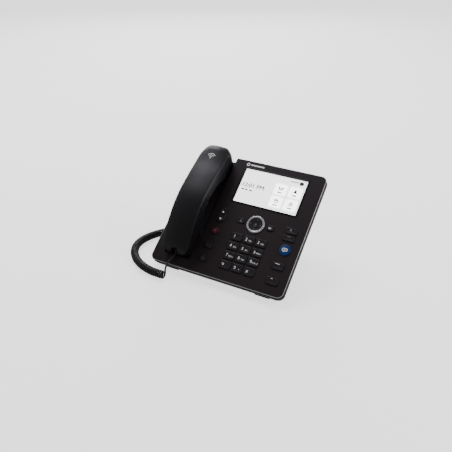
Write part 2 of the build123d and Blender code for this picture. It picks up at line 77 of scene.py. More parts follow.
def meshFrom(verts, faces, matrix=faceMatrix, slivers=False):    # doubles merged, faces turned outwards
    mesh = bpy.data.meshes.new("shape")
    mesh.from_pydata([matrix @ Vector(v) for v in verts], [], faces)
    shape = bmesh.new()
    shape.from_mesh(mesh)
    bmesh.ops.remove_doubles(shape, verts=shape.verts, dist=mergeWithin)
    if slivers:    # faces that close to a line, as at a lathe's axis, go too
        bmesh.ops.dissolve_degenerate(shape, edges=shape.edges, dist=sliverWithin)
    bmesh.ops.recalc_face_normals(shape, faces=shape.faces)
    shape.to_mesh(mesh)
    shape.free()
    return mesh


def joined(meshes):
    shape = bmesh.new()
    for mesh in meshes:
        shape.from_mesh(mesh)
    result = bpy.data.meshes.new("shape")
    shape.to_mesh(result)
    shape.free()
    return result


def roundedRing(u, v, width, length, radius, steps=7):
    ring = []
    for cornerU, cornerV, start in ((1, 1, 0), (-1, 1, 90), (-1, -1, 180), (1, -1, 270)):
        for step in range(steps + 1):
            angle = radians(start + 90 * step / steps)
            ring.append((u + cornerU * (width / 2 - radius) + radius * cos(angle),
                         v + cornerV * (length / 2 - radius) + radius * sin(angle)))
    return ring


def band(first, second, count):    # faces between two rings of points, from each ring's first number
    return [(first + i, first + (i + 1) % count, second + (i + 1) % count, second + i) for i in range(count)]


def loft(rings, top=None):    # rings of equal count; top is a centre point, or None for a flat end
    count = len(rings[0])
    verts = [p for ring in rings for p in ring]
    faces = [tuple(reversed(range(count)))]
    for level in range(len(rings) - 1):
        faces += band(level * count, (level + 1) * count, count)
    last = (len(rings) - 1) * count
    if top is None:
        faces.append(tuple(range(last, last + count)))
    else:
        verts.append(top)
        faces += [(last + i, last + (i + 1) % count, len(verts) - 1) for i in range(count)]
    return meshFrom(verts, faces)


def lathe(profile, centre, segments, matrix=faceMatrix):    # profile of (radius, w)
    verts, faces = [], []
    count = len(profile)
    for k in range(segments):
        angle = 2 * pi * k / segments
        verts += [(centre[0] + r * cos(angle), centre[1] + r * sin(angle), w) for r, w in profile]
        a, b = k * count, (k + 1) % segments * count
        faces += [(a + i, b + i, b + i + 1, a + i + 1) for i in range(count - 1)]
    return meshFrom(verts, faces, matrix, slivers=True)


def capped(count, first=0):    # faces of a closed solid between two equal outlines
    second = first + count
    ends = [tuple(reversed(range(first, second))), tuple(range(second, second + count))]
    return ends + band(first, second, count)


def slabMesh(outlines, w0, w1, matrix=faceMatrix):    # outlines of u and v, drawn out along w
    verts, faces = [], []
    for outline in outlines:
        faces += capped(len(outline), len(verts))
        verts += [(x, y, w) for w in (w0, w1) for x, y in outline]
    return meshFrom(verts, faces, matrix)


def sideMesh(outline, low, high):    # outline of v and w, drawn out along u
    return meshFrom([(u, v, w) for u in (low, high) for v, w in outline], capped(len(outline)))


def stroke(points, width):    # a line with square ends as one outline
    left, right = [], []
    for i, (x, y) in enumerate(points):
        before, after = points[max(i - 1, 0)], points[min(i + 1, len(points) - 1)]
        along = Vector((after[0] - before[0], after[1] - before[1])).normalized()
        side = Vector((-along.y, along.x)) * width / 2
        left.append((x + side.x, y + side.y))
        right.append((x - side.x, y - side.y))
    return left + right[::-1]


def arcPoints(u, v, radius, start, end, steps=14):
    return [(u + radius * cos(radians(start + (end - start) * k / steps)),
             v + radius * sin(radians(start + (end - start) * k / steps))) for k in range(steps + 1)]


def evaluatedMesh(piece):    # the piece's mesh with its modifiers applied
    mesh = bpy.data.meshes.new_from_object(piece.evaluated_get(bpy.context.evaluated_depsgraph_get()))
    bpy.data.objects.remove(piece)
    return mesh


class Sock:    # a shader value; sums and products with it add Math nodes
    def __init__(self, tree, socket):
        self.tree, self.socket = tree, socket

    def mathNode(self, operation, *values):
        node = self.tree.nodes.new("ShaderNodeMath")
        node.operation = operation
        for slot, value in zip(node.inputs, values):
            if isinstance(value, Sock):
                self.tree.links.new(value.socket, slot)
            else:
                slot.default_value = value
        return Sock(self.tree, node.outputs[0])

    def __add__(self, other): return self.mathNode("ADD", self, other)
    def __radd__(self, other): return self.mathNode("ADD", other, self)
    def __sub__(self, other): return self.mathNode("SUBTRACT", self, other)
    def __rsub__(self, other): return self.mathNode("SUBTRACT", other, self)
    def __mul__(self, other): return self.mathNode("MULTIPLY", self, other)
    def __rmul__(self, other): return self.mathNode("MULTIPLY", other, self)
    def __pow__(self, other): return self.mathNode("POWER", self, other)
    def clamped(self, low=0.0, high=1.0): return self.mathNode("MINIMUM", self.mathNode("MAXIMUM", self, low), high)


class Finish:    # a material with one Principled shader; set() takes numbers, colours or Socks
    def __init__(self, name):
        self.material = bpy.data.materials.new(name)
        self.material.use_nodes = True
        self.tree = self.material.node_tree
        self.shader = self.tree.nodes["Principled BSDF"]

    def node(self, kind, settings=None, values=None, out=0):
        made = self.tree.nodes.new(kind)
        for key, value in (settings or {}).items():
            setattr(made, key, value)
        for key, value in (values or {}).items():
            self.give(made.inputs[key], value)
        return Sock(self.tree, made.outputs[out])

    def give(self, slot, value):    # a colour is red, green and blue
        if isinstance(value, Sock):
            self.tree.links.new(value.socket, slot)
        else:
            slot.default_value = (*value, 1.0) if slot.type == "RGBA" else value

    def set(self, **values):
        for key, value in values.items():
            self.give(self.shader.inputs[key.replace("_", " ")], value)

    def place(self, scale=(1, 1, 1), location=(0, 0, 0), turn=(0, 0, 0), kind="POINT"):
        coords = self.node("ShaderNodeTexCoord", out="Object")
        return self.node("ShaderNodeMapping", {"vector_type": kind}, {
            "Vector": coords, "Scale": scale, "Location": location, "Rotation": turn})

    def noise(self, scale, detail=2.0, roughness=0.5, vector=None):
        return self.node("ShaderNodeTexNoise", None, {
            "Vector": vector or self.place(), "Scale": scale, "Detail": detail, "Roughness": roughness}, "Fac")

    def mix(self, factor, a, b):
        return self.node("ShaderNodeMix", {"data_type": "RGBA"}, {0: factor, 6: a, 7: b}, 2)

    def bump(self, height, distance, strength=1.0):
        self.set(Normal=self.node("ShaderNodeBump", None, {
            "Height": height, "Distance": distance, "Strength": strength}))


def mouldedPlastic(name, dark, light, rough, grain, depth, gloss):
    finish = Finish(name)
    patches = finish.noise(14.0, 3.0)
    speckle = finish.noise(900.0, 1.0)
    fine = finish.noise(grain, 2.0, 0.6)
    finish.set(Base_Color=finish.mix((patches * 0.6 + speckle * 0.4).clamped(), dark, light),
               Roughness=(rough - 0.05 + patches * 0.08 + speckle * 0.04).clamped(), Specular_IOR_Level=gloss)
    finish.bump(fine, depth * mm, 0.5)
    return finish.material


plasticLook = {    # dark and light tone, roughness, the grain's scale and depth, gloss
    "cover": ((0.022, 0.0155, 0.0180), (0.038, 0.0275, 0.0315), 0.5, 1600, 0.03, 0.25),
    "shell": ((0.012, 0.012, 0.013), (0.024, 0.024, 0.026), 0.55, 1100, 0.05, 0.2),
    "handset": ((0.0053, 0.0048, 0.0070), (0.0106, 0.0096, 0.0138), 0.42, 2000, 0.012, 0.5),
    "key": ((0.0120, 0.0098, 0.0112), (0.0210, 0.0175, 0.0200), 0.4, 2200, 0.015, 0.45),
    "switch": ((0.05, 0.05, 0.055), (0.09, 0.09, 0.095), 0.45, 1500, 0.02, 0.5),
    "socket": ((0.02, 0.02, 0.021), (0.04, 0.04, 0.042), 0.3, 1500, 0.012, 0.5),
    "blue": ((0.003, 0.035, 0.15), (0.008, 0.075, 0.28), 0.3, 2200, 0.01, 0.5),
    "mute": ((0.05, 0.006, 0.013), (0.10, 0.011, 0.022), 0.36, 2200, 0.012, 0.5)}
plastic = {name: mouldedPlastic(name + "Plastic", *look) for name, look in plasticLook.items()}


def rubber(name, dark, light, rough):
    finish = Finish(name)
    dust = finish.noise(60.0, 4.0, 0.65)
    pores = finish.node("ShaderNodeTexVoronoi", None, {"Vector": finish.place(), "Scale": 1400.0}, "Distance")
    finish.set(Base_Color=finish.mix(dust, dark, light), Roughness=(rough + dust * 0.12).clamped())
    finish.bump(pores, 0.02 * mm, 0.5)
    return finish.material


footRubber = rubber("footRubber", (0.012, 0.012, 0.013), (0.04, 0.04, 0.042), 0.7)
domeSilicone = rubber("domeSilicone", (0.16, 0.17, 0.18), (0.26, 0.27, 0.28), 0.6)


def cordJacket():
    finish = Finish("cordJacket")
    wear = finish.noise(220.0, 3.0, 0.6)
    drawn = finish.noise(2600.0, 1.0)
    finish.set(Base_Color=finish.mix(wear, (0.020, 0.020, 0.023), (0.036, 0.036, 0.040)),
               Roughness=(0.36 + wear * 0.14).clamped(), Specular_IOR_Level=0.45)
    finish.bump(drawn, 0.01 * mm, 0.4)
    return finish.material


def brushedMetal(name, dark, light, rough, streak, metallic=1.0):    # streak: noise scale along each axis
    finish = Finish(name)
    lines = finish.noise(1.0, 4.0, 0.7, finish.place(scale=streak))
    smudge = finish.noise(40.0, 3.0)
    finish.set(Base_Color=finish.mix(lines, dark, light), Metallic=metallic,
               Roughness=(rough + lines * 0.18 + smudge * 0.08).clamped())
    finish.bump(lines, 0.01 * mm, 0.5)
    return finish.material


trimMetal = brushedMetal("trimMetal", (0.6, 0.6, 0.61), (0.82, 0.82, 0.83), 0.26, (300, 2600, 2600), 0.7)
zincSteel = brushedMetal("zincSteel", (0.38, 0.39, 0.41), (0.6, 0.6, 0.6), 0.26, (1500, 1500, 1500))
goldContact = brushedMetal("goldContact", (0.7, 0.48, 0.16), (0.95, 0.7, 0.3), 0.2, (500, 500, 4000))


def turnedMetal(name, centre):    # brushing that runs round a centre on the face
    finish = Finish(name)
    spot = faceMatrix @ Vector((centre[0], centre[1], 0))
    flat = finish.place(location=tuple(spot), turn=(tilt, 0, 0), kind="TEXTURE")
    parts = finish.node("ShaderNodeSeparateXYZ", None, {"Vector": flat})
    x, y = (Sock(finish.tree, parts.socket.node.outputs[i]) for i in (0, 1))
    radius = (x * x + y * y) ** 0.5
    lines = finish.noise(1.0, 4.0, 0.7, finish.node("ShaderNodeCombineXYZ", None, {
        "X": radius * 9000.0, "Y": x.mathNode("ARCTAN2", y, x) * 1.5}))
    finish.set(Base_Color=finish.mix(lines, (0.66, 0.66, 0.67), (0.88, 0.88, 0.89)), Metallic=0.6,
               Roughness=(0.18 + lines * 0.2).clamped())
    finish.bump(lines, 0.008 * mm, 0.5)
    return finish.material


def lensGlass():
    finish = Finish("lensGlass")
    smear = finish.noise(30.0, 4.0, 0.6)
    finish.set(Base_Color=finish.mix(smear, (0.6, 0.64, 0.68), (0.8, 0.83, 0.86)), Roughness=0.05 + smear * 0.08,
               Alpha=0.04 + smear * 0.03, IOR=1.5)
    return finish.material


def clouded(name, grain, dark, light, rough, spread, depth=0.0, **more):    # grain: a noise's scale, detail, roughness
    finish = Finish(name)
    cloud = finish.noise(*grain)
    finish.set(Base_Color=finish.mix(cloud, dark, light), Roughness=rough + cloud * spread, **more)
    if depth:
        finish.bump(cloud, depth * mm, 0.6)
    return finish.material


lensBorder = clouded("lensBorder", (26.0, 4.0, 0.6), (0.009, 0.008, 0.010), (0.015, 0.013, 0.015), 0.4, 0.16,
                     Specular_IOR_Level=0.25)
coneAndCan = clouded("coneAndCan", (700.0, 3.0), (0.02, 0.02, 0.021), (0.09, 0.09, 0.092), 0.5, 0.3, 0.04)
clearPlug = clouded("clearPlug", (120.0, 2.0), (0.03, 0.03, 0.032), (0.07, 0.07, 0.075), 0.12, 0.12)


def lit(name, low, high, strength, scale=60.0):    # a colour with a faint unevenness and a glow: real light on the screen and the mute sign, a painted glow on the printed legends
    finish = Finish(name)
    cloud = finish.noise(scale, 2.0)
    tone = finish.mix(cloud, low, high)
    finish.set(Base_Color=tone, Emission_Color=tone, Emission_Strength=strength, Roughness=0.4 + cloud * 0.15)
    return finish.material


screenWhite = lit("screenWhite", (0.80, 0.81, 0.82), (0.88, 0.88, 0.89), 3.0)
screenTile = lit("screenTile", (0.90, 0.91, 0.93), (0.97, 0.98, 1.0), 5.0)
screenInk = lit("screenInk", (0.012, 0.012, 0.014), (0.03, 0.03, 0.034), 0.0)
screenGrey = lit("screenGrey", (0.03, 0.03, 0.034), (0.07, 0.07, 0.075), 0.0)
# the white legends are print; their emission is a painted glow
legendWhitePaintedGlow = lit("legendWhitePaintedGlow", (0.78, 0.78, 0.79), (0.92, 0.92, 0.93), 0.35, 900.0)
legendRed = lit("legendRed", (0.24, 0.035, 0.07), (0.36, 0.06, 0.11), 0.15, 900.0)


def circuitBoard():
    finish = Finish("circuitBoard")
    tracks = finish.node("ShaderNodeTexBrick", {"offset": 0.5}, {
        "Vector": finish.place(), "Scale": 160.0, "Mortar Size": 0.03,
        "Color1": (0.01, 0.09, 0.035), "Color2": (0.012, 0.12, 0.045), "Mortar": (0.03, 0.2, 0.08)})
    grain = finish.noise(800.0, 2.0)
    finish.set(Base_Color=finish.mix(grain * 0.3, tracks, (0.02, 0.16, 0.06)), Roughness=0.28 + grain * 0.2)
    finish.bump(grain, 0.02 * mm, 0.4)
    return finish.material


jacket = cordJacket()
ringMetal = turnedMetal("ringMetal", (150.0, 104.9))
nodeFinish = {
    plastic["cover"]: ["top_cover"],
    plastic["shell"]: ["bottom_cover", "stand_leg", "hook_plunger"],
    trimMetal: ["edge_trim"],
    lensBorder: ["display_module"],
    circuitBoard(): ["main_board", "keypad_board"],
    domeSilicone: ["key_mat"],
    coneAndCan: ["speaker_driver", "receiver_capsule", "handset_microphone", "base_microphone"],
    plastic["switch"]: ["hook_switch", "nav_gimbal"],
    plastic["socket"]: ["handset_jack", "headset_jack", "lan_jack", "pc_jack", "power_jack", "handset_socket"],
    footRubber: ["front_feet", "stand_feet"],
    zincSteel: ["hinge_pins", "screws", "handset_screws"],
    plastic["handset"]: ["handset_upper_shell", "handset_lower_shell"],
    clearPlug: ["handset_plug", "base_plug"],
    jacket: ["cord_coil", "cord_handset_end", "cord_base_end"],
}
for finish, names in nodeFinish.items():
    for name in names:
        for materialSlot in nodes[name].material_slots:
            materialSlot.material = finish
print("materials made")

view = {"place": (0.35097, -0.71695, 0.55085), "elevation": 31.621, "azimuth": 27.592, "lens": 45.405}
camera = bpy.data.objects.new("camera", bpy.data.cameras.new("camera"))
camera.location = view["place"]
camera.rotation_euler = (radians(90 - view["elevation"]), 0, radians(view["azimuth"]))
camera.data.lens = view["lens"]
camera.data.sensor_width = 36.0
camera.data.clip_start = 0.01
scene.collection.objects.link(camera)
scene.camera = camera

studio = {"floor": 30.0, "floorTone": (0.93, 0.93, 0.93), "floorPatch": (0.95, 0.95, 0.95),
          "floorGrey": (0.3, 0.3, 0.3), "floorGlow": 1.5, "floorSpill": (0.12, 0.12, 0.12),
          "skyBack": 2.2, "skyFront": 0.12, "skyHigh": 0.16, "skySeen": 1.6,
          "skyTurn": (0.5, 0.25), "skyMiddle": 0.5, "backPower": 2.0, "upPower": 1.8}
floorFinish = Finish("studioFloor")
# The floor shows pale but throws little light up at the phone.
seen = floorFinish.node("ShaderNodeLightPath", out="Is Camera Ray")
paint = floorFinish.mix(floorFinish.noise(3.0), studio["floorTone"], studio["floorPatch"])
floorFinish.set(Base_Color=floorFinish.mix(seen, studio["floorGrey"], paint), Roughness=0.9,
                Emission_Color=floorFinish.mix(seen, studio["floorSpill"], (1, 1, 1)),
                Emission_Strength=studio["floorGlow"])
half = studio["floor"]
floorMesh = bpy.data.meshes.new("floor")
floorMesh.from_pydata([(-half, -half, 0), (half, -half, 0), (half, half, 0), (-half, half, 0)], [], [(0, 1, 2, 3)])
floor = pieceFromMesh("studioFloor", floorMesh, floorFinish.material, 0)


def studioSky():    # bright at the horizon behind the phone, dimmer in front and overhead
    world = bpy.data.worlds.new("studio")
    world.use_nodes = True
    scene.world = world
    tree = world.node_tree
    coords = tree.nodes.new("ShaderNodeTexCoord")
    parts = tree.nodes.new("ShaderNodeSeparateXYZ")
    tree.links.new(coords.outputs["Generated"], parts.inputs[0])
    x, y, up = (Sock(tree, parts.outputs[i]) for i in range(3))
    turnY, turnX = studio["skyTurn"]
    behind = (y * turnY - x * turnX + studio["skyMiddle"]).clamped() ** studio["backPower"]
    low = studio["skyFront"] + (studio["skyBack"] - studio["skyFront"]) * behind
    level = studio["skyHigh"] + (low - studio["skyHigh"]) * (1 - up.clamped()) ** studio["upPower"]
    seen = Sock(tree, tree.nodes.new("ShaderNodeLightPath").outputs["Is Camera Ray"])
    level = level + (studio["skySeen"] - level) * seen
    tree.nodes["Background"].inputs["Color"].default_value = (1, 1, 1, 1)
    tree.links.new(level.socket, tree.nodes["Background"].inputs["Strength"])


def softbox(name, place, aim, size, power, tone=(1, 1, 1)):
    light = bpy.data.objects.new(name, bpy.data.lights.new(name, "AREA"))
    light.data.shape = "RECTANGLE"
    light.data.size, light.data.size_y = size
    light.data.energy = power
    light.data.color = tone
    light.location = place
    light.rotation_euler = (Vector(aim) - Vector(place)).to_track_quat("-Z", "Y").to_euler()
    scene.collection.objects.link(light)


studioSky()
softbox("backLight", (-0.95, 1.55, 0.8), (-0.05, 0.05, 0.1), (1.3, 0.6), 12)
softbox("topLight", (-0.72, 0.66, 1.45), (-0.08, 0.05, 0.12), (0.8, 0.7), 14, (0.95, 0.91, 1.0))
softbox("rightLight", (1.7, 0.3, 0.95), (0.1, 0, 0.08), (0.35, 0.9), 9)
print("studio made")

# The handset's cord is one wire from the phone's socket, through the coil, to the handset.
cordPlan = {
    "wire": 3.2, "coilRadius": 5.3, "pitch": 3.8, "stepsPerTurn": 14, "coilHeight": 7.0,
    "startTrim": 7.0, "endTrim": 4.0,
    "baseEnd": [(11.3, 140, 74.4), (2.4, 139.8, 73.4), (-4.0, 136.5, 66.0), (-5.5, 131, 54.0), (-4.0, 125, 41.0),
                (-1.5, 119.6, 28.0), (0.2, 117.4, 17.0)],
    "coil": [(9, 114), (-7, 109), (-22, 98.5), (-34, 84), (-43.5, 68), (-49.5, 51), (-49.5, 33), (-43, 16), (-31, 1.5),
             (-15, -10.5), (4, -18), (24, -21.5), (43.5, -20)],
    "handsetEnd": [(38.9, -14.6, 12.6), (37.4, -8.6, 17.4), (38.2, -1.8, 21.8), (41.0, 6.0, 25.6), (43, 11.7, 29.1)],
    "length": 2.0}


def splineLine(name, points, resolution):    # smooth line through a route, as a list of points
    curve = bpy.data.curves.new(name, "CURVE")
    curve.dimensions = "3D"
    line = curve.splines.new("NURBS")
    line.points.add(len(points) - 1)
    for spot, point in zip(line.points, points):
        spot.co = (*(deskMatrix @ Vector(point)), 1.0)
    line.order_u = 3
    line.use_endpoint_u = True
    line.resolution_u = resolution
    holder = bpy.data.objects.new(name, curve)
    scene.collection.objects.link(holder)
    return holder


def helixPoints(plan):
    guide = splineLine("coilGuide", [(x, y, plan["coilHeight"]) for x, y in plan["coil"]], 24)
    mesh = bpy.data.meshes.new_from_object(guide)
    back = deskMatrix.inverted()
    centre = [back @ v.co for v in mesh.vertices]
    bpy.data.objects.remove(guide)
    along = [0.0]
    for a, b in zip(centre, centre[1:]):
        along.append(along[-1] + (b - a).length)
    first, last = plan["startTrim"], along[-1] - plan["endTrim"]
    turns = round((last - first) / plan["pitch"] - 0.5) + 0.5
    steps = int(turns * plan["stepsPerTurn"])
    radius = plan["coilRadius"] / (0.75 + 0.25 * cos(2 * pi / plan["stepsPerTurn"]))
    up, points, k = Vector((0, 0, 1)), [], 0
    for step in range(steps + 1):
        s = first + (last - first) * step / steps
        while along[k + 1] < s:
            k += 1
        spot = centre[k].lerp(centre[k + 1], (s - along[k]) / (along[k + 1] - along[k]))
        side = (centre[k + 1] - centre[k]).normalized().cross(up)
        angle = pi / 2 + 2 * pi * turns * step / steps
        points.append(spot + radius * (cos(angle) * up + sin(angle) * side))
    return points


def handsetCord():
    plan = cordPlan
    wire = splineLine("handsetCord", plan["baseEnd"] + helixPoints(plan) + plan["handsetEnd"], 2)
    path = [tuple(v.co) for v in bpy.data.meshes.new_from_object(wire).vertices]
    wire.data.bevel_depth = plan["wire"] / 2 * mm
    wire.data.bevel_resolution = 3
    wire.data.use_fill_caps = True
    mesh = bpy.data.meshes.new_from_object(wire)
    bpy.data.objects.remove(wire)
    cord = pieceFromMesh("handsetCord", mesh, jacket, 50)
    length = sum((Vector(a) - Vector(b)).length for a, b in zip(path, path[1:]))
    print("cord length", round(length, 3), "m")
    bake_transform(cord)
    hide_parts("cord_coil", "cord_handset_end", "cord_base_end")


handsetCord()
print("cord made")


def newTree(name, inputs):    # inputs: name -> (kind of socket, value)
    tree = bpy.data.node_groups.new(name, "GeometryNodeTree")
    for label, (kind, value) in inputs.items():
        socket = tree.interface.new_socket(label, in_out="INPUT", socket_type="NodeSocket" + kind)
        if value is not None:
            socket.default_value = value
    tree.interface.new_socket("Geometry", in_out="OUTPUT", socket_type="NodeSocketGeometry")
    return tree, tree.nodes.new("NodeGroupInput").outputs


def treeNode(tree, kind, settings=None, links=None):    # a node given as a value stands for its first output
    made = tree.nodes.new(kind)
    for key, value in (settings or {}).items():
        setattr(made, key, value)
    for key, value in (links or {}).items():
        value = value.outputs[0] if isinstance(value, bpy.types.Node) else value
        if isinstance(value, bpy.types.NodeSocket):
            tree.links.new(value, made.inputs[key])
        else:
            made.inputs[key].default_value = value
    return made


def closeTree(tree, instances, material):
    real = treeNode(tree, "GeometryNodeRealizeInstances", None, {"Geometry": instances})
    coated = treeNode(tree, "GeometryNodeSetMaterial", None, {"Geometry": real, "Material": material})
    treeNode(tree, "NodeGroupOutput", None, {0: coated})


def rowTree():    # a straight row of bars, such as a socket's contacts
    tree, given = newTree("rowOfBars", {
        "Count": ("Int", 8), "Start": ("Vector", None), "Step": ("Vector", None),
        "Bar": ("Vector", None), "Material": ("Material", None)})
    line = treeNode(tree, "GeometryNodeMeshLine", {"mode": "OFFSET"}, {
        "Count": given["Count"], "Start Location": given["Start"], "Offset": given["Step"]})
    bar = treeNode(tree, "GeometryNodeMeshCube", None, {"Size": given["Bar"]})
    placed = treeNode(tree, "GeometryNodeInstanceOnPoints", None, {
        "Points": line, "Instance": bar})
    closeTree(tree, placed, given["Material"])
    return tree


def holeTree():    # round field of cutters in straight rows, for a grille
    tree, given = newTree("roundGrille", {
        "Field": ("Float", 0.011), "Spacing": ("Float", 0.004), "Hole": ("Float", 0.001),
        "Depth": ("Float", 0.006), "Rows": ("Int", 9), "Material": ("Material", None)})
    span = treeNode(tree, "ShaderNodeMath", {"operation": "MULTIPLY"}, {
        0: treeNode(tree, "ShaderNodeMath", {"operation": "SUBTRACT"}, {0: given["Rows"], 1: 1.0}),
        1: given["Spacing"]})
    grid = treeNode(tree, "GeometryNodeMeshGrid", None, {
        "Size X": span, "Size Y": span, "Vertices X": given["Rows"],
        "Vertices Y": given["Rows"]})
    place = tree.nodes.new("GeometryNodeInputPosition")
    away = treeNode(tree, "ShaderNodeVectorMath", {"operation": "LENGTH"}, {0: place})
    outside = treeNode(tree, "FunctionNodeCompare", {"data_type": "FLOAT", "operation": "GREATER_THAN"}, {
        0: away.outputs["Value"], 1: given["Field"]})
    field = treeNode(tree, "GeometryNodeDeleteGeometry", {"domain": "POINT"}, {
        "Geometry": grid, "Selection": outside})
    drill = treeNode(tree, "GeometryNodeMeshCylinder", None, {
        "Vertices": 16, "Radius": given["Hole"], "Depth": given["Depth"]})
    placed = treeNode(tree, "GeometryNodeInstanceOnPoints", None, {
        "Points": field, "Instance": drill})
    closeTree(tree, placed, given["Material"])
    return tree


def screwTree():    # one modelled screw on each point, turned to the point's own direction
    tree, given = newTree("screwSet", {
        "Geometry": ("Geometry", None), "Screw": ("Object", None),
        "Material": ("Material", None)})
    info = treeNode(tree, "GeometryNodeObjectInfo", None, {"Object": given["Screw"]})
    facing = treeNode(tree, "GeometryNodeInputNamedAttribute", {"data_type": "FLOAT_VECTOR"}, {"Name": "facing"})
    turn = treeNode(tree, "FunctionNodeAlignRotationToVector", {"axis": "Z"}, {"Vector": facing})
    placed = treeNode(tree, "GeometryNodeInstanceOnPoints", None, {
        "Points": given["Geometry"], "Instance": info.outputs["Geometry"], "Rotation": turn})
    closeTree(tree, placed, given["Material"])
    return tree


def grown(tree, values, seed=None):    # runs a tree and gives its plain mesh
    holder = bpy.data.objects.new("grown", seed or bpy.data.meshes.new("grown"))
    scene.collection.objects.link(holder)
    modifier = holder.modifiers.new("grow", "NODES")
    modifier.node_group = tree
    for item in tree.interface.items_tree:
        if item.in_out == "INPUT" and item.name in values:
            modifier[item.identifier] = values[item.name]
    return evaluatedMesh(holder)


def cut(mesh, cutter, operation="DIFFERENCE"):    # exact boolean of two meshes
    body, tool = (bpy.data.objects.new(n, m) for n, m in (("body", mesh), ("tool", cutter)))
    for o in (body, tool):
        scene.collection.objects.link(o)
    modifier = body.modifiers.new("cut", "BOOLEAN")
    modifier.operation = operation
    modifier.solver = "EXACT"
    modifier.object = tool
    result = evaluatedMesh(body)
    bpy.data.objects.remove(tool)
    return result


handsetPlan = {
    "centre": 43.0, "halfWidth": 23.0, "earEnd": 218.6, "earRadius": 17.0, "front": 17.0, "frontRadius": 13.0,
    "notchHalf": 5.5, "notchEnd": 24.0, "crown": 2.4, "crownDepth": 6.0,
    "belly": 0.035, "bellyFrom": 1.0, "bellyRun": 9.0, "earStart": 160.0, "earCrown": 4.6, "earCrownRun": 45.0,
    "flare": 0.06, "flareRun": 40.0, "tipStart": 190.0, "tipRun": 28.0, "earNarrow": 0.24, "earPull": 6.0,
    "voxel": 0.95, "soften": 6, "seam": 0.16,
    "grille": {"Field": 11.2 * mm, "Spacing": 3.1 * mm, "Hole": 0.85 * mm, "Depth": 8 * mm, "Rows": 9},
    "grillePlace": (187.6, -9.4), "mouthSlot": (14, 1.8, 0.85), "slotStart": 36, "slotPitch": 5,
    "socket": (11.2, 20.2, 0.6), "socketPlace": 27, "boreRadius": 2.6, "bores": [(90.0, 18.2), (146.0, 17.6)],
    "topLine": [(17.6, 6.0), (18.6, 12.6), (24.0, 19.0), (38.0, 26.4), (57.0, 34.0), (84.0, 40.8), (112.0, 43.4),
                (145.0, 40.4), (178.0, 35.6), (197.0, 34.0), (206.0, 33.2), (213.4, 29.8),
                (217.2, 23.2), (218.0, 15.0)],
    "underLine": [(218.0, 15.0), (215.6, 7.0), (209.6, -1.0), (201.4, -9.2), (172.5, -9.2), (166.0, 0.4), (158.0, 9.6),
                  (146.0, 15.4), (132.0, 18.9), (118.0, 20.0), (102.0, 18.8), (88.0, 15.6), (76.0, 10.8),
                  (68.0, 4.0), (60.0, -3.2), (22.5, -3.2), (18.8, 0.6), (17.6, 6.0)],
    "seamLine": [(5, 11.6), (30, 14), (60, 24), (90, 31), (115, 33), (150, 30), (180, 25), (235, 19.5)]}


def smoothThrough(points, steps=8):    # curve through given points
    ends = [points[0]] + points + [points[-1]]
    line = []
    for p, q, r, s in zip(ends, ends[1:], ends[2:], ends[3:]):
        for k in range(steps):
            t = k / steps
            line.append(tuple(0.5 * (2 * b + (c - a) * t + (2 * a - 5 * b + 4 * c - d) * t * t
                                     + (3 * b - a - 3 * c + d) * t ** 3) for a, b, c, d in zip(p, q, r, s)))
    return line + [points[-1]]


def handsetOutline(plan):
    c, half, front, r = plan["centre"], plan["halfWidth"], plan["front"], plan["frontRadius"]
    end, big = plan["earEnd"], plan["earRadius"]
    outline = arcPoints(c + half - big, end - big, big, 0, 90, 16)
    outline += arcPoints(c - half + big, end - big, big, 90, 180, 16)
    outline += arcPoints(c - half + r, front + r, r, 180, 270, 10)
    outline += [(c - plan["notchHalf"], front), (c - plan["notchHalf"], plan["notchEnd"]),
                (c + plan["notchHalf"], plan["notchEnd"]), (c + plan["notchHalf"], front)]
    return outline + arcPoints(c + half - r, front + r, r, 270, 360, 10)


def heightOn(line, v):
    for (v0, w0), (v1, w1) in zip(line, line[1:]):
        if v0 <= v <= v1 and v1 > v0:
            return w0 + (w1 - w0) * (v - v0) / (v1 - v0)
    return line[0][1] if v < line[0][0] else line[-1][1]


def rise(value, start, run):    # from 0 at the start to 1 past the run
    return min(max((value - start) / run, 0.0), 1.0)


def handsetForm(plan, vert, level):    # where a point of the drawn block goes: crowned across, round at the ear end
    c, half = plan["centre"], plan["halfWidth"]
    u, v, w = vert
    dome = plan["earCrown"] * rise(v, plan["earStart"], plan["earCrownRun"]) ** 1.5
    share = rise(w, level, plan["crownDepth"] + dome)
    drop = share * (plan["crown"] + dome) * min(((u - c) / half) ** 2, 1.0)
    flare = plan["flare"] * rise(v, plan["earStart"], plan["flareRun"])
    wide = 1.0 + (plan["belly"] + flare) * rise(w, plan["bellyFrom"], plan["bellyRun"])
    tip = share * rise(v, plan["tipStart"], plan["tipRun"])    # the top closes to a round end over a squarer shell
    wide *= 1.0 - plan["earNarrow"] * tip * tip
    return Vector((c + (u - c) * wide, v - plan["earPull"] * tip * ((u - c) / half) ** 2, w - drop))


def modified(mesh, kind, **settings):    # a mesh after one modifier
    body = bpy.data.objects.new("body", mesh)
    scene.collection.objects.link(body)
    modifier = body.modifiers.new("step", kind)
    for key, value in settings.items():
        setattr(modifier, key, value)
    return evaluatedMesh(body)


